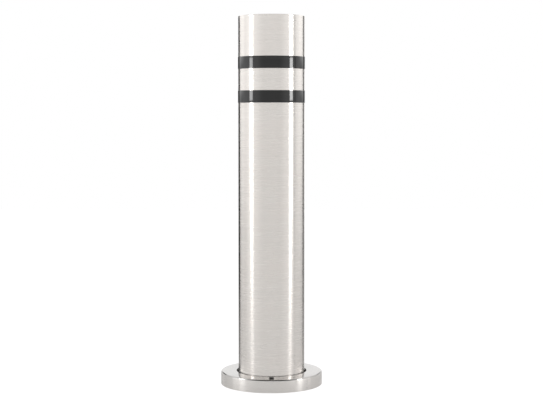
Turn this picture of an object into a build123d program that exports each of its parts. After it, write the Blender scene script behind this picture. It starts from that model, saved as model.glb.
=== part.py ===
from build123d import *
import os

# A bolt-down stainless steel safety bollard: a capped tube welded to a round base plate, two black bands near the
# top, and a loose pressed cover that hides the plate and its anchor holes. Millimetres, +Z up. The origin is the
# centre of the foot at floor level. The front, where the cover has its lifting slot, faces -Y.

# Tube and cap
overall_height = 915.0
tube_diameter = 165.1
tube_wall = 3.0
cap_thickness = 3.0
cap_edge_chamfer = 0.8
cap_weld_depth = 1.5        # how far the weld groove goes in from the outside
cap_weld_half_height = 1.0  # how far it opens above and below the joint
backing_ring_height = 15.0
inner_ring_wall = 3.0       # of the two rings inside the tube
inner_ring_clearance = 0.1  # radial, between those rings and the tube

# Black bands
band_height = 30.0
band_thickness = 0.8
upper_band_top = 815.0
lower_band_top = 732.0

# Foot
plate_diameter = 245.0
plate_thickness = 10.0
plate_edge_chamfer = 1.0
drain_hole_diameter = 60.0
anchor_hole_diameter = 14.0
anchor_circle_diameter = 210.0
anchor_count = 4
foot_ring_height = 25.0
base_weld_leg = 5.0
base_weld_crown = 0.6       # how far the weld's face bulges out
pad_thickness = 2.0
pad_hole_diameter = 18.0
pad_opening_diameter = 90.0

# Cover
cover_diameter = 253.0
cover_height = 32.5
cover_sheet = 2.0
cover_edge_radius = 4.0
cover_hole_diameter = 175.0
cover_hole_edge_radius = 0.6
cover_lip_depth = 4.0       # of the turned-down lip, below the top sheet
slot_width = 11.0
slot_outer_radius = 122.5   # distance of the slot's outer end from the axis
slot_corner_radius = 1.5
seal_gap = 0.1              # between the seal ring and the lip it sits on
seal_inner_wall = 1.0
seal_outer_wall = 1.8
seal_floor = 2.4
seal_inner_height = 2.0     # how far the seal reaches up the lip's inner side
seal_rim_drop = 0.8         # how far its outer edge stays under the top sheet
spacer_count = 4
spacer_width = 20.0
spacer_height = 8.0
spacer_foot = 3.5           # height of a spacer's lower edge above the floor
spacer_clearance = 0.2      # between a spacer and the plate's edge

# Derived sizes
tube_radius = tube_diameter / 2
bore_radius = tube_radius - tube_wall
plate_radius = plate_diameter / 2
cover_radius = cover_diameter / 2
cover_bore_radius = cover_radius - cover_sheet
hole_radius = cover_hole_diameter / 2
plate_top = pad_thickness + plate_thickness
tube_top = overall_height - cap_thickness
sheet_underside = cover_height - cover_sheet
lip_bottom = sheet_underside - cover_lip_depth


def turned(outline):
    """The solid swept by turning a closed outline of (radius, height) points once about the post's axis."""
    face = Plane.XZ * make_face(Polyline(*outline, close=True))
    return revolve(face, axis=Axis.Z)


def ring(inner_radius, outer_radius, bottom, top):
    """A plain ring about the post's axis. An inner radius of 0 gives a disc."""
    return turned([(inner_radius, bottom), (outer_radius, bottom), (outer_radius, top), (inner_radius, top)])


def round_edge(solid, radius, height):
    """The circular edges of a solid that have this radius and lie at this height."""
    circles = solid.edges().filter_by(GeomType.CIRCLE)
    return circles.filter_by(lambda edge: abs(edge.radius - radius) < 0.01 and abs(edge.center().Z - height) < 0.01)


def around(radius, count, first_angle):
    """Evenly spaced places on a circle about the post's axis."""
    return PolarLocations(radius, count, start_angle=first_angle)


def post_tube():
    groove_radius = tube_radius - cap_weld_depth
    return turned([
        (bore_radius, plate_top),
        (tube_radius, plate_top),
        (tube_radius, tube_top - cap_weld_half_height),
        (groove_radius, tube_top),
        (bore_radius, tube_top),
    ])


def top_cap():
    groove_radius = tube_radius - cap_weld_depth
    return turned([
        (0, tube_top),
        (groove_radius, tube_top),
        (tube_radius, tube_top + cap_weld_half_height),
        (tube_radius, overall_height - cap_edge_chamfer),
        (tube_radius - cap_edge_chamfer, overall_height),
        (0, overall_height),
    ])


def cap_weld():
    """Weld metal that fills the groove between tube and cap, ground flush with the tube."""
    return turned([
        (tube_radius - cap_weld_depth, tube_top),
        (tube_radius, tube_top - cap_weld_half_height),
        (tube_radius, tube_top + cap_weld_half_height),
    ])


def inner_ring(bottom, top):
    """A ring that fits inside the tube with a small clearance."""
    outer_radius = bore_radius - inner_ring_clearance
    return ring(outer_radius - inner_ring_wall, outer_radius, bottom, top)


def band(top):
    return ring(tube_radius, tube_radius + band_thickness, top - band_height, top)


def base_plate():
    plate = ring(drain_hole_diameter / 2, plate_radius, pad_thickness, plate_top)
    plate = chamfer(round_edge(plate, plate_radius, plate_top), plate_edge_chamfer)
    hole = Cylinder(anchor_hole_diameter / 2, 3 * plate_thickness)
    return plate - around(anchor_circle_diameter / 2, anchor_count, 45) * hole


def base_weld():
    """Fillet weld round the foot of the tube, with a slightly bulging face."""
    toe = (tube_radius + base_weld_leg, plate_top)
    root = (tube_radius, plate_top)
    shoulder = (tube_radius, plate_top + base_weld_leg)
    bulge = base_weld_leg / 2 + base_weld_crown / 2**0.5
    crown = (tube_radius + bulge, plate_top + bulge)
    outline = Polyline(shoulder, root, toe) + ThreePointArc(toe, crown, shoulder)
    return revolve(Plane.XZ * make_face(outline), axis=Axis.Z)


def ground_pad():
    pad = ring(pad_opening_diameter / 2, plate_radius, 0, pad_thickness)
    hole = Cylinder(pad_hole_diameter / 2, 3 * pad_thickness)
    return pad - around(anchor_circle_diameter / 2, anchor_count, 45) * hole


def base_cover():
    """Pressed sheet cover: a rim down to the floor, a flat top, a turned-down lip at the hole and a front slot."""
    cover = turned([
        (hole_radius, lip_bottom),
        (hole_radius + cover_sheet, lip_bottom),
        (hole_radius + cover_sheet, sheet_underside),
        (cover_bore_radius, sheet_underside),
        (cover_bore_radius, 0),
        (cover_radius, 0),
        (cover_radius, cover_height),
        (hole_radius, cover_height),
    ])
    cover = fillet(round_edge(cover, cover_radius, cover_height), cover_edge_radius)
    cover = fillet(round_edge(cover, cover_bore_radius, sheet_underside), cover_edge_radius - cover_sheet)
    cover = fillet(round_edge(cover, hole_radius, cover_height), cover_hole_edge_radius)
    return cover - lifting_slot()


def lifting_slot():
    """The space that the front slot takes out of the cover's top and lip. It opens into the hole."""
    inner_end = tube_radius - tube_wall
    length = slot_outer_radius - inner_end
    height = 3 * cover_lip_depth
    slot = Box(slot_width, length, height, align=(Align.CENTER, Align.MIN, Align.MIN))
    outer_corners = slot.edges().filter_by(Axis.Z).group_by(Axis.Y)[0]
    slot = fillet(outer_corners, slot_corner_radius)
    return Pos(0, -slot_outer_radius, lip_bottom - cover_sheet) * slot


def cover_seal_ring():
    """Channel-section ring pushed up over the cover's lip. Its wall is lower on the side of the tube."""
    inner_face = hole_radius - seal_gap
    outer_face = hole_radius + cover_sheet + seal_gap
    floor_top = lip_bottom - seal_gap
    inner_top = lip_bottom + seal_inner_height
    outer_top = sheet_underside - seal_rim_drop
    return turned([
        (inner_face - seal_inner_wall, floor_top - seal_floor),
        (outer_face + seal_outer_wall, floor_top - seal_floor),
        (outer_face + seal_outer_wall, outer_top),
        (outer_face, outer_top),
        (outer_face, floor_top),
        (inner_face, floor_top),
        (inner_face, inner_top),
        (inner_face - seal_inner_wall, inner_top),
    ])


def cover_spacer_pads():
    """Pads stuck inside the cover's rim, level with the plate's edge."""
    wall = ring(plate_radius + spacer_clearance, cover_bore_radius, spacer_foot, spacer_foot + spacer_height)
    block = Box(spacer_width, spacer_width, 3 * cover_height)
    places = around(cover_bore_radius, spacer_count, 0)
    return Compound([(wall & place * block).solid() for place in places])


parts = {
    "post_tube": post_tube(),
    "top_cap": top_cap(),
    "cap_weld": cap_weld(),
    "cap_backing_ring": inner_ring(tube_top - backing_ring_height, tube_top),
    "upper_black_band": band(upper_band_top),
    "lower_black_band": band(lower_band_top),
    "foot_ring": inner_ring(plate_top, plate_top + foot_ring_height),
    "base_plate": base_plate(),
    "base_weld": base_weld(),
    "ground_pad": ground_pad(),
    "base_cover": base_cover(),
    "cover_seal_ring": cover_seal_ring(),
    "cover_spacer_pads": cover_spacer_pads(),
}

os.makedirs("parts", exist_ok=True)
for name, solid in parts.items():
    export_step(solid, f"parts/{name}.step")
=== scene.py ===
import math

import bmesh
import bpy
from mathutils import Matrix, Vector


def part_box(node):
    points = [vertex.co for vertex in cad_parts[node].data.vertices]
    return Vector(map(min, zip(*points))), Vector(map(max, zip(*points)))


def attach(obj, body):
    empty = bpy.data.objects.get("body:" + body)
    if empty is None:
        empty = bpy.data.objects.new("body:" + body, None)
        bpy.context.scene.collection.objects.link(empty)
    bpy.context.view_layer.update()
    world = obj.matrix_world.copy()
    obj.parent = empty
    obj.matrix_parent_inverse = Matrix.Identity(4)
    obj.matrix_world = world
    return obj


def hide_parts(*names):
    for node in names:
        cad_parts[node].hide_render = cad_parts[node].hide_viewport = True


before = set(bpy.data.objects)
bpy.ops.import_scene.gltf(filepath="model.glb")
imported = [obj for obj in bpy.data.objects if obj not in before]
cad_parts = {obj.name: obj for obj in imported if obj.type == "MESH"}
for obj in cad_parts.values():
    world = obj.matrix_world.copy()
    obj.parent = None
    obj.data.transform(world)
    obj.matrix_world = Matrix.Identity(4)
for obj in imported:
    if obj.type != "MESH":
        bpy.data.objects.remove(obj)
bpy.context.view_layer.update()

# A stainless steel safety bollard with a loose foot cover, in metres. The origin is the centre of its foot,
# +Z is up and the front faces -Y. Each CAD node is replaced by a finer mesh, and a photo studio stands round
# the bollard.

MM = 0.001
ROUND_SEGMENTS = 384              # steps round the post's axis for the large turned pieces
HOLE_SEGMENTS = 72                # steps round an anchor hole
ARC_STEPS = 7                     # steps in each rounded corner of a turned outline
SHARP_ANGLE = math.radians(28)    # edges bent more than this stay sharp
CUT_MARGIN = 1.0 * MM             # how far cutters reach past the faces they cut

# Sizes of the CAD model that its parts' boxes don't give
TUBE_WALL = 3.0 * MM
CAP_CHAMFER = 0.8 * MM
CAP_WELD_DEPTH = 1.5 * MM
INNER_RING_WALL = 3.0 * MM     # of the two rings inside the tube
PLATE_CHAMFER = 1.0 * MM
DRAIN_HOLE_RADIUS = 30.0 * MM
ANCHOR_HOLE_RADIUS = 7.0 * MM
ANCHOR_CIRCLE_RADIUS = 105.0 * MM
ANCHOR_ANGLES = [math.radians(45 + 90 * i) for i in range(4)]
WELD_CROWN = 0.6 * MM
PAD_HOLE_RADIUS = 9.0 * MM
PAD_OPENING_RADIUS = 45.0 * MM
COVER_SHEET = 2.0 * MM
COVER_EDGE_RADIUS = 4.0 * MM
COVER_HOLE_RADIUS = 87.5 * MM
COVER_LIP_DEPTH = 4.0 * MM
SLOT_WIDTH = 11.0 * MM
SLOT_OUTER_RADIUS = 122.5 * MM
SLOT_CORNER_RADIUS = 1.5 * MM
SEAL_GAP = 0.1 * MM
SEAL_INNER_WALL = 1.0 * MM
SEAL_OUTER_WALL = 1.8 * MM
SEAL_FLOOR = 2.4 * MM
SEAL_INNER_HEIGHT = 2.1 * MM   # of the seal's inner wall above its floor
SPACER_THICKNESS = 1.8 * MM
SPACER_WIDTH = 20.0 * MM

# Details that only the visual model has
WELD_RIPPLES = 190
WELD_RIPPLE_HEIGHT = 0.35 * MM
BAND_OVERLAP = 7.0 * MM         # width of the lap joint at the back of each band
BAND_LAP_STEP = 0.25 * MM       # how far the overlapping film stands out
BAND_LAP_RAMP = 0.2 * MM        # width of the step itself
BROKEN_EDGE = 0.3 * MM          # rounding of the edges of cut steel


def span(node):
    """(largest radius about the post's axis, lowest height, highest height) of a CAD node."""
    low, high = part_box(node)
    return max(high.x, high.y), low.z, high.z


# ---------------------------------------------------------------- meshes

def rounded(corners, steps=ARC_STEPS):
    """The points of a closed outline given as (radius, height, corner rounding), with an arc at each rounded
    corner."""
    points = []
    count = len(corners)
    for i, (r, z, rounding) in enumerate(corners):
        here = Vector((r, z))
        if rounding == 0:
            points.append(here)
            continue
        before = (Vector(corners[i - 1][:2]) - here).normalized()
        after = (Vector(corners[(i + 1) % count][:2]) - here).normalized()
        half_angle = before.angle(after) / 2
        start = here + before * (rounding / math.tan(half_angle))
        end = here + after * (rounding / math.tan(half_angle))
        centre = here + (before + after).normalized() * (rounding / math.sin(half_angle))
        arm = start - centre
        sweep = -arm.angle_signed(end - centre)
        for step in range(steps + 1):
            cosine = math.cos(sweep * step / steps)
            sine = math.sin(sweep * step / steps)
            points.append(centre + Vector((arm.x * cosine - arm.y * sine, arm.x * sine + arm.y * cosine)))
    return points


def full_turn(segments=ROUND_SEGMENTS):
    return [2 * math.pi * i / segments for i in range(segments)]


def sweep_outline(work, outline, angles, closed, shape=None):
    """Adds a closed outline of (radius, height) points swept through these angles about the post's axis. If
    the sweep doesn't close on itself, its ends are capped. shape(angle, index, point) may move each point."""
    rings = []
    for angle in angles:
        ring = []
        for index, point in enumerate(outline):
            r, z = shape(angle, index, point) if shape else point
            ring.append(work.verts.new((r * math.cos(angle), r * math.sin(angle), z)))
        rings.append(ring)
    followers = rings[1:] + rings[:1] if closed else rings[1:]
    for ring, following in zip(rings, followers):
        for j in range(len(outline)):
            k = (j + 1) % len(outline)
            on_axis = outline[j][0] == 0 and outline[k][0] == 0
            if not on_axis:
                work.faces.new((ring[j], ring[k], following[k], following[j]))
    if not closed:
        work.faces.new(rings[0])
        work.faces.new(rings[-1])


def shade(data):
    """Smooth shading, with sharp edges kept."""
    data.polygons.foreach_set("use_smooth", [True] * len(data.polygons))
    data.set_sharp_from_angle(angle=SHARP_ANGLE)


def finish_mesh(name, work):
    """Turns a bmesh into an object."""
    bmesh.ops.remove_doubles(work, verts=work.verts, dist=1e-7)
    bmesh.ops.recalc_face_normals(work, faces=work.faces)
    data = bpy.data.meshes.new(name)
    work.to_mesh(data)
    work.free()
    shade(data)
    piece = bpy.data.objects.new(name, data)
    bpy.context.scene.collection.objects.link(piece)
    return piece


def turned(name, outline, angles=None, shape=None):
    """An outline turned once about the post's axis."""
    work = bmesh.new()
    sweep_outline(work, outline, angles or full_turn(), closed=True, shape=shape)
    return finish_mesh(name, work)


def prism(name, outline, low, high):
    """A closed outline of (x, y) points, upright from low to high."""
    work = bmesh.new()
    bottom = [work.verts.new((x, y, low)) for x, y in outline]
    top = [work.verts.new((x, y, high)) for x, y in outline]
    work.faces.new(bottom)
    work.faces.new(top)
    for i in range(len(outline)):
        j = (i + 1) % len(outline)
        work.faces.new((bottom[i], bottom[j], top[j], top[i]))
    return finish_mesh(name, work)


def hole_cutters(radius, low, high, bevel):
    """Cutters for the anchor holes, which flare at both ends to bevel the holes' edges."""
    flare = radius + bevel + CUT_MARGIN
    outline = [
        (0, low - CUT_MARGIN), (flare, low - CUT_MARGIN), (radius, low + bevel),
        (radius, high - bevel), (flare, high + CUT_MARGIN), (0, high + CUT_MARGIN),
    ]
    cutters = []
    for angle in ANCHOR_ANGLES:
        cutter = turned("hole", outline, full_turn(HOLE_SEGMENTS))
        cutter.location = (ANCHOR_CIRCLE_RADIUS * math.cos(angle), ANCHOR_CIRCLE_RADIUS * math.sin(angle), 0)
        cutters.append(cutter)
    return cutters


def cut(piece, cutters):
    """Takes the cutters out of a piece, for good, and deletes them."""
    for cutter in cutters:
        modifier = piece.modifiers.new("cut", "BOOLEAN")
        modifier.object = cutter
        modifier.operation = "DIFFERENCE"
        modifier.solver = "EXACT"
    bpy.context.view_layer.update()
    evaluated = piece.evaluated_get(bpy.context.evaluated_depsgraph_get())
    data = bpy.data.meshes.new_from_object(evaluated)
    piece.modifiers.clear()
    piece.data = data
    for cutter in cutters:
        bpy.data.objects.remove(cutter)
    shade(data)
    return piece


# ---------------------------------------------------------------- materials

class Nodes:
    """Small helper that adds and links shader nodes."""

    def __init__(self, tree):
        self.tree = tree

    def add(self, kind, inputs=None, **settings):
        node = self.tree.nodes.new(kind)
        for key, value in settings.items():
            setattr(node, key, value)
        for key, value in (inputs or {}).items():
            self.feed(node.inputs[key], value)
        return node

    def feed(self, socket, value):
        """Links a socket's output to an input, or sets the input to a plain value."""
        if isinstance(value, bpy.types.NodeSocket):
            self.tree.links.new(value, socket)
        else:
            socket.default_value = value

    def math(self, operation, a, b=0.0, c=0.0):
        return self.add("ShaderNodeMath", {0: a, 1: b, 2: c}, operation=operation).outputs[0]

    def noise(self, vector, scale, detail=2.0, roughness=0.5):
        inputs = {"Vector": vector, "Scale": scale, "Detail": detail, "Roughness": roughness}
        return self.add("ShaderNodeTexNoise", inputs).outputs["Fac"]

    def vector(self, x, y, z):
        return self.add("ShaderNodeCombineXYZ", {0: x, 1: y, 2: z}).outputs[0]

    def vector_math(self, operation, a, b=(0.0, 0.0, 0.0)):
        return self.add("ShaderNodeVectorMath", {0: a, 1: b}, operation=operation).outputs[0]

    def scaled(self, vector, scale):
        return self.add("ShaderNodeVectorMath", {0: vector, "Scale": scale}, operation="SCALE").outputs[0]

    def point(self):
        """The shaded point, in metres in the row frame."""
        return self.add("ShaderNodeTexCoord").outputs["Object"]

    def xyz(self, point):
        return self.add("ShaderNodeSeparateXYZ", {0: point}).outputs

    def radius_of(self, point):
        """The distance of a point from the axis of the post."""
        level = self.vector_math("MULTIPLY", point, (1.0, 1.0, 0.0))
        return self.add("ShaderNodeVectorMath", {0: level}, operation="LENGTH").outputs["Value"]

    def remap(self, value, low, high, to_low, to_high):
        inputs = {"Value": value, "From Min": low, "From Max": high, "To Min": to_low, "To Max": to_high}
        return self.add("ShaderNodeMapRange", inputs, interpolation_type="SMOOTHSTEP").outputs[0]

    def between(self, share, a, b):
        """The value that lies this share of the way from a to b."""
        return self.add("ShaderNodeMix", {0: share, 2: a, 3: b}).outputs[0]

    def mix(self, factor, a, b, blend="MIX"):
        """A mix of two colours."""
        node = self.add("ShaderNodeMix", data_type="RGBA", blend_type=blend)
        self.feed(node.inputs[0], factor)
        self.feed(node.inputs[6], a)
        self.feed(node.inputs[7], b)
        return node.outputs[2]

    def ramp(self, value, stops):
        """A colour ramp with (position, (r, g, b)) stops in order."""
        node = self.add("ShaderNodeValToRGB", {0: value})
        while len(node.color_ramp.elements) < len(stops):
            node.color_ramp.elements.new(0.5)
        for element, (position, colour) in zip(node.color_ramp.elements, stops):
            element.position = position
            element.color = (*colour, 1.0)
        return node.outputs[0]

    def bump(self, height, strength, distance):
        inputs = {"Height": height, "Strength": strength, "Distance": distance}
        return self.add("ShaderNodeBump", inputs).outputs[0]


def new_material(name):
    material = bpy.data.materials.new(name)
    material.use_nodes = True
    material.node_tree.nodes.clear()
    nodes = Nodes(material.node_tree)
    output = nodes.add("ShaderNodeOutputMaterial")
    surface = nodes.add("ShaderNodeBsdfPrincipled")
    material.node_tree.links.new(surface.outputs[0], output.inputs["Surface"])
    return material, nodes, surface


def connect(nodes, surface, **inputs):
    """Sets or links inputs of the surface shader. An underscore in a keyword stands for a space."""
    for key, value in inputs.items():
        nodes.feed(surface.inputs[key.replace("_", " ")], value)


def grey(value, warmth=0.0):
    """A grey, or with some warmth a grey that leans to red and away from blue."""
    return (value * (1 + warmth), value, value * (1 - warmth), 1.0)


def darker(colour, share):
    """A colour with this share of its light taken away."""
    return tuple(channel * (1 - share) for channel in colour[:3]) + (1.0,)


def brushed_metal(name, colour, roughness, anisotropy, grain_tilt, grain_depth, seam=False):
    """Bright stainless steel with its grain round the post's axis: fine lines that vary along the height on
    upright faces and along the radius on flat ones, and a faint colour drift. grain_tilt is how far the lines
    tilt the surface across the grain, and grain_depth how much light the darkest lines lose. A seam adds the
    dull line of a ground weld down the back."""
    material, nodes, surface = new_material(name)
    point = nodes.point()
    x, y, z = nodes.xyz(point)
    across = nodes.math("ADD", z, nodes.radius_of(point))
    changes_per_metre = 9.0   # along the lines
    along_x = nodes.math("MULTIPLY", x, changes_per_metre)
    along_y = nodes.math("MULTIPLY", y, changes_per_metre)

    def grain(lines_per_metre, detail):
        place = nodes.vector(along_x, along_y, nodes.math("MULTIPLY", across, lines_per_metre))
        return nodes.noise(place, 1.0, detail, 0.6)

    coarse = grain(420.0, 3.0)
    fine = grain(3100.0, 2.0)
    cloud = nodes.noise(point, 11.0, 3.0, 0.55)
    streaks = nodes.math("MULTIPLY_ADD", fine, 0.5, nodes.math("MULTIPLY", coarse, 0.5))
    tone = nodes.mix(nodes.remap(streaks, 0.3, 0.7, 0.0, 1.0), darker(colour, grain_depth), colour)
    warm = (colour[0] * 1.03, colour[1] * 0.99, colour[2] * 0.98, 1.0)
    tone = nodes.mix(nodes.remap(cloud, 0.35, 0.65, 0.0, 0.25), tone, warm)
    rough = nodes.math("ADD", roughness, nodes.remap(coarse, 0.3, 0.7, -0.006, 0.006))
    if seam:
        beside = nodes.remap(nodes.math("ABSOLUTE", x), 0.8 * MM, 2.2 * MM, 1.0, 0.0)
        line = nodes.math("MULTIPLY", beside, nodes.remap(y, 0.0, 0.01, 0.0, 1.0))
        tone = nodes.mix(nodes.math("MULTIPLY", line, 0.5), tone, darker(colour, 0.12))
        rough = nodes.math("MULTIPLY_ADD", line, 0.08, rough)
    tangent = nodes.add("ShaderNodeTangent", direction_type="RADIAL", axis="Z").outputs[0]
    normal = nodes.add("ShaderNodeNewGeometry").outputs["Normal"]
    across_grain = nodes.vector_math("CROSS_PRODUCT", normal, tangent)
    tilt = nodes.math("MULTIPLY", nodes.math("SUBTRACT", fine, 0.5), grain_tilt)
    tilted = nodes.vector_math("ADD", normal, nodes.scaled(across_grain, tilt))
    connect(
        nodes, surface, Base_Color=tone, Metallic=1.0, Roughness=rough, Anisotropic=anisotropy,
        Anisotropic_Rotation=0.25, Tangent=tangent, Normal=nodes.vector_math("NORMALIZE", tilted),
    )
    return material


def mill_metal(name, colour, weld_radius=None):
    """Dull rolled stainless steel, with heat tint on both sides of a weld of this radius."""
    material, nodes, surface = new_material(name)
    point = nodes.point()
    x, y, z = nodes.xyz(point)
    cloud = nodes.noise(point, 30.0, 5.0, 0.6)
    rolled = nodes.vector(nodes.math("MULTIPLY", x, 12.0), nodes.math("MULTIPLY", y, 900.0), z)
    lines = nodes.noise(rolled, 1.0, 2.0)
    tone = nodes.mix(nodes.remap(cloud, 0.3, 0.7, 0.0, 1.0), darker(colour, 0.14), colour)
    if weld_radius:
        away = nodes.math("ABSOLUTE", nodes.math("SUBTRACT", nodes.radius_of(point), weld_radius))
        wander = nodes.math("MULTIPLY_ADD", nodes.noise(point, 60.0, 3.0), 4 * MM, -2 * MM)
        tint = nodes.ramp(nodes.math("MULTIPLY", nodes.math("ADD", away, wander), 50.0), [
            (0.0, (0.45, 0.42, 0.42)), (0.22, (0.30, 0.33, 0.52)), (0.38, (0.42, 0.30, 0.42)),
            (0.55, (0.62, 0.47, 0.24)), (0.85, (0.75, 0.70, 0.58)), (1.0, (1.0, 1.0, 1.0)),
        ])
        tone = nodes.mix(0.8, tone, tint, "MULTIPLY")
    rough = nodes.math("MULTIPLY_ADD", lines, 0.12, nodes.remap(cloud, 0.3, 0.7, 0.30, 0.40))
    height = nodes.math("MULTIPLY_ADD", lines, 0.4, cloud)
    normal = nodes.bump(height, 0.3, 0.1 * MM)
    connect(nodes, surface, Base_Color=tone, Metallic=1.0, Roughness=rough, Normal=normal)
    return material


def weld_metal(name):
    """Dull weld bead with straw and blue heat colours that drift round the bead."""
    material, nodes, surface = new_material(name)
    point = nodes.point()
    tone = nodes.ramp(nodes.noise(point, 45.0, 4.0, 0.6), [
        (0.30, (0.42, 0.40, 0.38)), (0.48, (0.50, 0.44, 0.34)), (0.60, (0.36, 0.36, 0.42)),
        (0.75, (0.48, 0.46, 0.44)),
    ])
    speck = nodes.noise(point, 900.0, 3.0, 0.6)
    rough = nodes.remap(speck, 0.3, 0.7, 0.26, 0.42)
    normal = nodes.bump(speck, 0.35, 0.1 * MM)
    connect(nodes, surface, Base_Color=tone, Metallic=1.0, Roughness=rough, Normal=normal)
    return material


def glossy_vinyl(name):
    """Glossy black film with fine lines along the band and a slight waviness."""
    material, nodes, surface = new_material(name)
    x, y, z = nodes.xyz(nodes.point())
    along_x = nodes.math("MULTIPLY", x, 6.0)
    along_y = nodes.math("MULTIPLY", y, 6.0)
    lines = nodes.noise(nodes.vector(along_x, along_y, nodes.math("MULTIPLY", z, 900.0)), 1.0, 2.0)
    waves = nodes.noise(nodes.vector(x, y, nodes.math("MULTIPLY", z, 3.0)), 60.0, 2.0)
    tone = nodes.mix(nodes.remap(lines, 0.35, 0.7, 0.0, 1.0), grey(0.0025), grey(0.007, 0.04))
    rough = nodes.math("MULTIPLY_ADD", lines, 0.04, 0.06)
    height = nodes.math("MULTIPLY_ADD", waves, 0.6, lines)
    normal = nodes.bump(height, 0.15, 0.05 * MM)
    connect(nodes, surface, Base_Color=tone, Roughness=rough, IOR=1.46, Normal=normal)
    return material


def rubber(name):
    """Matt black EPDM with a fine pebbled skin and pale dust."""
    material, nodes, surface = new_material(name)
    point = nodes.point()
    pebbles = nodes.noise(point, 1400.0, 3.0, 0.6)
    dust = nodes.noise(point, 70.0, 5.0, 0.65)
    tone = nodes.mix(nodes.remap(dust, 0.5, 0.8, 0.0, 0.5), grey(0.012), grey(0.045, 0.04))
    rough = nodes.remap(pebbles, 0.3, 0.7, 0.5, 0.7)
    normal = nodes.bump(pebbles, 0.4, 0.1 * MM)
    connect(nodes, surface, Base_Color=tone, Roughness=rough, Normal=normal)
    return material


POST_COLOUR = (0.675, 0.645, 0.615, 1.0)
# Painted shade and painted light: the cover's flat top gets a darker copy of the post's steel, and its rim a
# lighter copy.
COVER_TOP_SHADED_COLOUR = (0.55, 0.54, 0.525, 1.0)
COVER_RIM_LIT_COLOUR = (0.74, 0.715, 0.69, 1.0)
MILL_COLOUR = (0.52, 0.51, 0.49, 1.0)
TUBE_STEEL = brushed_metal(
    "tube_steel", POST_COLOUR, roughness=0.27, anisotropy=1.0, grain_tilt=0.35, grain_depth=0.025, seam=True,
)
CAP_STEEL = brushed_metal(
    "cap_steel", POST_COLOUR, roughness=0.27, anisotropy=1.0, grain_tilt=0.35, grain_depth=0.025,
)
# The cover's top with painted shade and its rim with painted light, as two copies of one steel.
COVER_TOP_SHADED_STEEL = brushed_metal(
    "cover_top_painted_shade_steel", COVER_TOP_SHADED_COLOUR, roughness=0.14, anisotropy=0.9, grain_tilt=0.2, grain_depth=0.16,
)
COVER_RIM_LIT_STEEL = brushed_metal(
    "cover_rim_painted_light_steel", COVER_RIM_LIT_COLOUR, roughness=0.25, anisotropy=1.0, grain_tilt=0.35, grain_depth=0.05,
)
MILL_STEEL = mill_metal("mill_steel", MILL_COLOUR)
PLATE_STEEL = mill_metal("plate_steel", MILL_COLOUR, weld_radius=85.0 * MM)
WELD_METAL = weld_metal("weld_bead")
VINYL = glossy_vinyl("black_vinyl")
RUBBER = rubber("black_rubber")


def place_piece(piece, body, materials, node):
    """Gives a piece its materials and its body, and hides the CAD node it stands for."""
    for material in materials:
        piece.data.materials.append(material)
    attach(piece, body)
    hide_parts(node)


# ---------------------------------------------------------------- post

def make_tube():
    radius, low, high = span("post_tube")
    bore = radius - TUBE_WALL
    groove = radius - CAP_WELD_DEPTH
    weld_half_height = span("cap_weld")[2] - high
    outline = rounded([
        (bore, low, BROKEN_EDGE), (radius, low, 0), (radius, high - weld_half_height, 0),
        (groove, high, 0), (bore, high, BROKEN_EDGE),
    ])
    place_piece(turned("tube_shell", outline), "post", [TUBE_STEEL], "post_tube")


def make_cap():
    radius, low, high = span("top_cap")
    groove = radius - CAP_WELD_DEPTH
    weld_top = span("cap_weld")[2]
    outline = rounded([
        (0, low, 0), (groove, low, 0), (radius, weld_top, 0),
        (radius, high - CAP_CHAMFER, BROKEN_EDGE), (radius - CAP_CHAMFER, high, BROKEN_EDGE), (0, high, 0),
    ])
    place_piece(turned("cap_disc", outline), "post", [CAP_STEEL], "top_cap")


def make_cap_weld():
    radius, low, high = span("cap_weld")
    outline = [(radius - CAP_WELD_DEPTH, (low + high) / 2), (radius, low), (radius, high)]
    place_piece(turned("cap_weld_ring", outline), "post", [CAP_STEEL], "cap_weld")


def make_inner_ring(node):
    """One of the two plain machined rings inside the tube, with broken edges."""
    radius, low, high = span(node)
    bore = radius - INNER_RING_WALL
    edge = 0.5 * MM
    outline = rounded([(bore, low, edge), (radius, low, edge), (radius, high, edge), (bore, high, edge)])
    place_piece(turned(node + "_ring", outline), "post", [MILL_STEEL], node)


def make_band(node):
    """A film band with rounded edges and a lap joint at the back."""
    tube_radius = span("post_tube")[0]
    radius, low, high = span(node)
    edge = 0.25 * MM
    outline = rounded([
        (tube_radius, low, 0), (radius, low, edge), (radius, high, edge), (tube_radius, high, 0),
    ])
    lap_start = math.pi / 2
    lap_end = lap_start + BAND_OVERLAP / radius
    half_ramp = BAND_LAP_RAMP / 2 / radius
    ramps = [lap_start - half_ramp, lap_start + half_ramp, lap_end - half_ramp, lap_end + half_ramp]
    angles = sorted(full_turn() + ramps)

    def lap(angle, index, point):
        raised = lap_start < angle < lap_end and point[0] > tube_radius
        return (point[0] + BAND_LAP_STEP, point[1]) if raised else point

    place_piece(turned(node + "_wrap", outline, angles, lap), "post", [VINYL], node)


def make_base_plate():
    radius, low, high = span("base_plate")
    edge = 0.6 * MM
    outline = rounded([
        (DRAIN_HOLE_RADIUS, low, edge), (radius, low, edge), (radius, high - PLATE_CHAMFER, BROKEN_EDGE),
        (radius - PLATE_CHAMFER, high, BROKEN_EDGE), (DRAIN_HOLE_RADIUS, high, edge),
    ])
    piece = cut(turned("base_plate_disc", outline), hole_cutters(ANCHOR_HOLE_RADIUS, low, high, 0.5 * MM))
    place_piece(piece, "post", [PLATE_STEEL], "base_plate")


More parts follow.
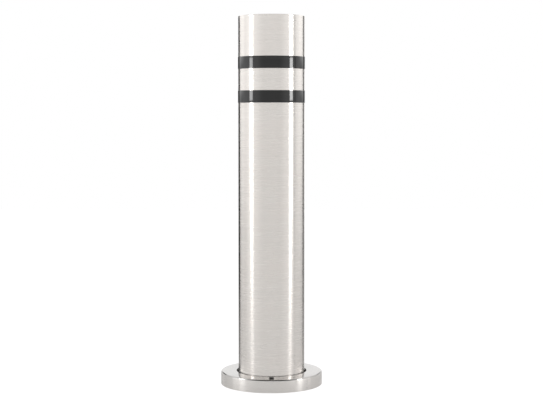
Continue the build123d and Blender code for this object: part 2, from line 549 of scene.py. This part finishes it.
def make_base_weld():
    """A fillet weld with overlapping ripples: a crowned slope from toe to shoulder, with scallops that bend
    back at both edges. The size of the bead wanders a little round the tube."""
    tube_radius = span("post_tube")[0]
    radius, low, high = span("base_weld")
    slope_steps = 10
    toe = Vector((radius, low))
    shoulder = Vector((tube_radius, high))
    outline = [toe.lerp(shoulder, i / slope_steps) for i in range(slope_steps + 1)]
    outline.append(Vector((tube_radius, low)))
    outward = Vector((1, 1)).normalized()

    def bead(angle, index, point):
        if index > slope_steps:
            return point
        across = 2 * index / slope_steps - 1
        swell = 1 - across * across
        wander = 0.12 * math.sin(7 * angle + 1) + 0.08 * math.sin(23 * angle + 2)
        scallop = abs(math.sin(WELD_RIPPLES * angle / 2 + 0.9 * across * across)) ** 0.6
        height = swell * (WELD_CROWN * (1 + wander) + WELD_RIPPLE_HEIGHT * (scallop - 0.6))
        return point + outward * height

    piece = turned("base_weld_bead", outline, full_turn(8 * WELD_RIPPLES), bead)
    place_piece(piece, "post", [WELD_METAL], "base_weld")


def make_ground_pad():
    radius, low, high = span("ground_pad")
    edge = 0.4 * MM
    outline = rounded([
        (PAD_OPENING_RADIUS, low, edge), (radius, low, edge),
        (radius, high, edge), (PAD_OPENING_RADIUS, high, edge),
    ])
    piece = cut(turned("ground_pad_sheet", outline), hole_cutters(PAD_HOLE_RADIUS, low, high, 0.2 * MM))
    place_piece(piece, "post", [RUBBER], "ground_pad")


# ---------------------------------------------------------------- cover

def slot_cutter(low, high):
    """The front slot's space, which reaches into the hole and has rounded outer corners."""
    half = SLOT_WIDTH / 2
    corner = SLOT_CORNER_RADIUS
    corner_steps = 8
    inner_end = -(COVER_HOLE_RADIUS - 5 * MM)
    outline = [(half, inner_end), (-half, inner_end)]
    for side, quarter in ((-1, range(corner_steps + 1)), (1, range(corner_steps, -1, -1))):
        for step in quarter:
            angle = math.pi / 2 * step / corner_steps
            x = side * (half - corner + corner * math.cos(angle))
            outline.append((x, -(SLOT_OUTER_RADIUS - corner + corner * math.sin(angle))))
    return prism("slot", outline, low, high)


def make_cover():
    """The pressed cover with its lip and front slot. Its upright rim has a material of its own: the same
    steel, with painted light on the rim and painted shade on the flat top.
    """
    radius, low, high = span("base_cover")
    bore = radius - COVER_SHEET
    hole = COVER_HOLE_RADIUS
    lip = hole + COVER_SHEET
    under = high - COVER_SHEET
    lip_bottom = under - COVER_LIP_DEPTH
    outline = rounded([
        (hole, lip_bottom, 0.5 * MM), (lip, lip_bottom, 0.5 * MM), (lip, under, 0.8 * MM),
        (bore, under, COVER_EDGE_RADIUS - COVER_SHEET), (bore, low, BROKEN_EDGE),
        (radius, low, 0.4 * MM), (radius, high, COVER_EDGE_RADIUS), (hole, high, 0.6 * MM),
    ])
    piece = cut(turned("cover_shell", outline), [slot_cutter(lip_bottom - 5 * MM, high + 5 * MM)])
    place_piece(piece, "cover", [COVER_TOP_SHADED_STEEL, COVER_RIM_LIT_STEEL], "base_cover")
    for polygon in piece.data.polygons:
        centre = polygon.center
        outside = math.hypot(centre.x, centre.y) > radius - COVER_EDGE_RADIUS
        upright = polygon.normal.z < 0.2
        polygon.material_index = 1 if outside and upright else 0


def make_seal_ring():
    """The channel-section ring on the cover's lip, open at the top and with a lower wall beside the tube."""
    radius, low, high = span("cover_seal_ring")
    inner_face = COVER_HOLE_RADIUS - SEAL_GAP
    outer_face = COVER_HOLE_RADIUS + COVER_SHEET + SEAL_GAP
    floor_top = low + SEAL_FLOOR
    inner_side = inner_face - SEAL_INNER_WALL
    outer_side = outer_face + SEAL_OUTER_WALL
    inner_top = floor_top + SEAL_INNER_HEIGHT
    outline = rounded([
        (inner_side, low, 0.6 * MM), (outer_side, low, 0.9 * MM), (outer_side, high, 0.5 * MM),
        (outer_face, high, 0.3 * MM), (outer_face, floor_top, 0), (inner_face, floor_top, 0),
        (inner_face, inner_top, 0.3 * MM), (inner_side, inner_top, 0.3 * MM),
    ])
    place_piece(turned("seal_u_ring", outline), "seal", [RUBBER], "cover_seal_ring")


def make_spacer_pads():
    """Four small curved pads stuck inside the rim, with softened edges."""
    outer, low, high = span("cover_spacer_pads")
    inner = outer - SPACER_THICKNESS
    edge = 0.4 * MM
    half_angle = math.asin(SPACER_WIDTH / 2 / outer)
    half_steps = 8
    corners = [(inner, low, edge), (outer, low, edge), (outer, high, edge), (inner, high, edge)]
    outline = rounded(corners, steps=4)
    work = bmesh.new()
    for quarter in range(4):
        middle = quarter * math.pi / 2
        angles = [middle + half_angle * (i / half_steps - 1) for i in range(2 * half_steps + 1)]
        sweep_outline(work, outline, angles, closed=False)
    place_piece(finish_mesh("spacer_pads", work), "cover", [RUBBER], "cover_spacer_pads")


make_tube()
make_cap()
make_cap_weld()
make_inner_ring("cap_backing_ring")
make_inner_ring("foot_ring")
make_band("upper_black_band")
make_band("lower_black_band")
make_base_plate()
make_base_weld()
make_ground_pad()
make_cover()
make_seal_ring()
make_spacer_pads()


# ---------------------------------------------------------------- studio

COVER_SURFACE = span("base_cover")[2] + 1 * MM   # rays that start below this height come from the cover
FIRST_BOUNCE_LIMIT = 1.5                         # rays with a depth under this have bounced once

# Brightness of the white surroundings at each azimuth, in degrees from the front towards +X. The narrow dark
# gap at the right draws the thin dark line beside that side's highlight.
ROOM_LEVELS = [
    (-180, 1.12), (-145, 1.25), (-115, 1.5), (-102, 1.5), (-92, 1.68), (-80, 1.68), (-55, 1.5), (-25, 1.6),
    (15, 1.6), (50, 1.46), (72, 1.44), (86, 1.4), (86.8, 0.2), (88.8, 0.2), (89.6, 1.36), (102, 1.5),
    (115, 1.48), (145, 1.25), (180, 1.12),
]


def around(azimuth, distance, height):
    """A point at this azimuth, in degrees from the front towards +X."""
    angle = math.radians(azimuth)
    return Vector((distance * math.sin(angle), -distance * math.cos(angle), height))


def make_sheet(name, rows):
    """A prop made of a grid of points."""
    width = len(rows[0])
    faces = []
    for i in range(len(rows) - 1):
        for j in range(width - 1):
            corner = i * width + j
            faces.append((corner, corner + 1, corner + width + 1, corner + width))
    data = bpy.data.meshes.new(name)
    data.from_pydata([point for row in rows for point in row], [], faces)
    sheet = bpy.data.objects.new(name, data)
    bpy.context.scene.collection.objects.link(sheet)
    return sheet


def make_floor():
    """White paper floor. The camera sees it almost evenly white, with a faint contact shadow. Reflections
    show it greyer behind the post, a painted shade."""
    half = 6.0
    height = -0.2 * MM   # clear of the faces that stand on the ground
    front = [(-half, -half, height), (half, -half, height)]
    back = [(-half, half, height), (half, half, height)]
    floor = make_sheet("floor", [front, back])
    material, nodes, surface = new_material("floor_paper")
    y = nodes.xyz(nodes.point())[1]
    seen = nodes.add("ShaderNodeLightPath").outputs["Is Camera Ray"]
    # Painted shade: reflections see the floor turn greyer towards the back of the post.
    reflected_painted_shade = nodes.mix(nodes.remap(y, -0.2, 0.3, 0.0, 1.0), grey(0.70), grey(0.50))
    glow = nodes.math("MULTIPLY", seen, 0.86)
    connect(
        nodes, surface, Base_Color=nodes.mix(seen, reflected_painted_shade, grey(0.22)), Roughness=1.0,
        Specular_IOR_Level=0.0, Emission_Color=grey(1.0), Emission_Strength=glow,
    )
    floor.data.materials.append(material)


def make_world():
    """White all round, brighter above the horizon beside and behind the post, a little darker at the horizon
    in front of it and darker overhead. The camera sees it plain white."""
    world = bpy.data.worlds.new("studio")
    bpy.context.scene.world = world
    world.use_nodes = True
    world.node_tree.nodes.clear()
    nodes = Nodes(world.node_tree)
    output = nodes.add("ShaderNodeOutputWorld")
    direction = nodes.add("ShaderNodeTexCoord").outputs["Generated"]
    x, y, z = nodes.xyz(direction)
    azimuth_angle = nodes.math("ARCTAN2", x, nodes.math("MULTIPLY", y, -1.0))
    share = nodes.math("MULTIPLY_ADD", azimuth_angle, 0.5 / math.pi, 0.5)
    full_level = 2.0   # the ramp's white stands for this brightness
    stops = [(0.5 + azimuth / 360, (level / full_level,) * 3) for azimuth, level in ROOM_LEVELS]
    room = nodes.ramp(share, stops)

    # Straight in front, the share of light lost near the horizon
    in_front = nodes.remap(y, -0.92, -0.6, 1.0, 0.0)
    dip = nodes.math("MULTIPLY", in_front, nodes.remap(z, 0.10, 0.25, 0.42, 0.0))

    # Towards the back, but not straight behind the post, the share lost below the horizon or won above it
    past_side = nodes.remap(y, 0.25, 0.5, 0.0, 1.0)
    off_centre = nodes.remap(y, 0.8, 0.95, 1.0, 0.0)
    behind = nodes.math("MULTIPLY", past_side, off_centre)
    lift = nodes.math("MULTIPLY", behind, nodes.remap(z, -0.02, 0.12, -0.3, 0.42))

    overhead = nodes.remap(z, 0.35, 0.7, 1.0, 0.55)
    level = nodes.math("SUBTRACT", nodes.math("ADD", lift, 1.0), dip)
    level = nodes.math("MULTIPLY", level, overhead)
    strength = nodes.math("MULTIPLY", level, full_level)
    lighting = nodes.add("ShaderNodeBackground", {"Color": room, "Strength": strength}).outputs[0]
    white = nodes.add("ShaderNodeBackground", {"Color": grey(1.0), "Strength": 1.0}).outputs[0]
    from_camera = nodes.add("ShaderNodeLightPath").outputs["Is Camera Ray"]
    mixed = nodes.add("ShaderNodeMixShader", {0: from_camera, 1: lighting, 2: white}).outputs[0]
    nodes.tree.links.new(mixed, output.inputs["Surface"])


def make_card(name, rows, felt, glow, visibility):
    """A card that only reflections show. visibility(nodes, start, bounce) gives its opacity for a ray that
    started at this point and has bounced so many times, so that it can serve the tube or the cover alone."""
    card = make_sheet(name, rows)
    material, nodes, surface = new_material(name + "_felt")
    shaded = nodes.add("ShaderNodeNewGeometry").outputs
    path = nodes.add("ShaderNodeLightPath").outputs
    back_along_ray = nodes.scaled(shaded["Incoming"], path["Ray Length"])
    start = nodes.vector_math("ADD", shaded["Position"], back_along_ray)
    connect(
        nodes, surface, Base_Color=grey(felt), Roughness=1.0, Specular_IOR_Level=0.0,
        Emission_Color=grey(1.0), Emission_Strength=glow, Alpha=visibility(nodes, start, path["Ray Depth"]),
    )
    card.data.materials.append(material)
    card.visible_camera = False
    card.visible_diffuse = False
    card.visible_shadow = False


def make_edge_card(name, felt, inner, outer):
    """A black card behind the post, which draws a dark line down the edge of the tube, fainter towards the
    foot. inner and outer are the azimuths of its upright edges, each at the foot and at the top. The cover
    shows it only in what the tube reflects of it."""
    distance, card_top = 0.3, 1.0
    side_top = span("top_cap")[2] - CAP_CHAMFER

    def from_tube(nodes, start, bounce):
        height = nodes.xyz(start)[2]
        again = nodes.math("GREATER_THAN", bounce, FIRST_BOUNCE_LIMIT)
        on_cover = nodes.math("LESS_THAN", height, COVER_SURFACE)
        on_side = nodes.math("LESS_THAN", height, side_top)
        on_tube = nodes.between(again, nodes.remap(height, 0.06, 0.30, 0.6, 1.0), 0.7)
        opacity = nodes.between(on_cover, on_tube, again)
        return nodes.math("MULTIPLY", opacity, on_side)

    make_card(name, [
        [around(outer[0], distance, 0), around(inner[0], distance, 0)],
        [around(outer[1], distance, card_top), around(inner[1], distance, card_top)],
    ], felt=felt, glow=0.0, visibility=from_tube)


def make_cover_card(name, glow, azimuths, elevations):
    """A curved card between these azimuths and elevations that only the cover reflects, but not its flat
    top."""
    distance, steps = 1.5, 8
    radius, _, top = span("base_cover")
    tolerance = 0.1 * MM

    def from_cover(nodes, start, bounce):
        height = nodes.xyz(start)[2]
        first = nodes.math("LESS_THAN", bounce, FIRST_BOUNCE_LIMIT)
        low = nodes.math("LESS_THAN", height, COVER_SURFACE)
        on_edge = nodes.math("GREATER_THAN", nodes.radius_of(start), radius - COVER_EDGE_RADIUS)
        below_top = nodes.math("LESS_THAN", height, top - tolerance)
        off_flat = nodes.math("MAXIMUM", on_edge, below_top)
        return nodes.math("MULTIPLY", first, nodes.math("MULTIPLY", low, off_flat))

    rows = []
    for i in range(steps + 1):
        rise = math.radians(elevations[0] + (elevations[1] - elevations[0]) * i / steps)
        row = []
        for j in range(steps + 1):
            azimuth = azimuths[0] + (azimuths[1] - azimuths[0]) * j / steps
            row.append(around(azimuth, distance * math.cos(rise), distance * math.sin(rise)))
        rows.append(row)
    make_card(name, rows, felt=0.0, glow=glow, visibility=from_cover)


def make_side_cards(side, dash_glow):
    """Three cards beside and behind the post that shape what the cover's rounded edge shows at this side: a
    bright one high up, one a little duller below it and a darker one behind that."""
    sign = 1 if side == "right" else -1
    for name, glow, azimuths, elevations in (
        ("high_card_", 1.1, (95, 162), (26, 50)),
        ("low_card_", 0.85, (95, 130), (0, 26)),
        ("dash_card_", dash_glow, (130, 162), (10, 26)),
    ):
        make_cover_card(name + side, glow, [sign * azimuth for azimuth in azimuths], elevations)


def make_foot_card():
    """A white card lying on the front of the cover that only the tube reflects, so that no dark smear of the
    gap and the slot runs up the brushed tube."""
    height = span("base_cover")[2] + 0.1 * MM
    inner = span("post_tube")[0] + 0.2 * MM
    azimuths = range(-60, 61, 5)

    def from_tube(nodes, start, bounce):
        return nodes.math("GREATER_THAN", nodes.xyz(start)[2], COVER_SURFACE)

    make_card("foot_card", [
        [around(azimuth, inner, height) for azimuth in azimuths],
        [around(azimuth, SLOT_OUTER_RADIUS, height) for azimuth in azimuths],
    ], felt=0.0, glow=0.75, visibility=from_tube)


def make_softbox(name, azimuth, width, radiance):
    """A bright light facing the post's axis, for one of the two upright highlights."""
    distance, low, high = 1.6, 0.63, 0.98
    height = high - low
    light = bpy.data.lights.new(name, "AREA")
    light.shape = "RECTANGLE"
    light.size = width
    light.size_y = height
    light.energy = radiance * math.pi * width * height
    softbox = bpy.data.objects.new(name, light)
    bpy.context.scene.collection.objects.link(softbox)
    softbox.location = around(azimuth, distance, (low + high) / 2)
    softbox.rotation_mode = "QUATERNION"
    softbox.rotation_quaternion = around(azimuth, -distance, 0).to_track_quat("-Z", "Y")
    softbox.visible_camera = False


def make_camera():
    """A long lens straight in front, at three quarters of the post's height, looking a few degrees down."""
    distance, height, down, lens = 3.201, 0.669, 3.883, 85.3
    data = bpy.data.cameras.new("camera")
    data.lens = lens
    data.sensor_width = 36.0
    data.clip_end = 50.0
    camera = bpy.data.objects.new("camera", data)
    bpy.context.scene.collection.objects.link(camera)
    camera.location = (0, -distance, height)
    camera.rotation_euler = (math.radians(90 - down), 0, 0)
    bpy.context.scene.camera = camera


make_floor()
make_world()
make_edge_card("edge_card_left", felt=0.06, inner=(-126.0, -127.0), outer=(-155.5, -150.0))
make_edge_card("edge_card_right", felt=0.26, inner=(122.5, 124.3), outer=(142.0, 142.0))
make_cover_card("ceiling_card", glow=0.02, azimuths=(-60, 60), elevations=(17, 82))
make_side_cards("left", dash_glow=0.1)
make_side_cards("right", dash_glow=0.5)
make_foot_card()
make_softbox("softbox_left", azimuth=-72.0, width=0.36, radiance=9.0)
make_softbox("softbox_right", azimuth=69.5, width=0.34, radiance=13.2)
make_camera()
bpy.context.scene.view_settings.view_transform = "Standard"
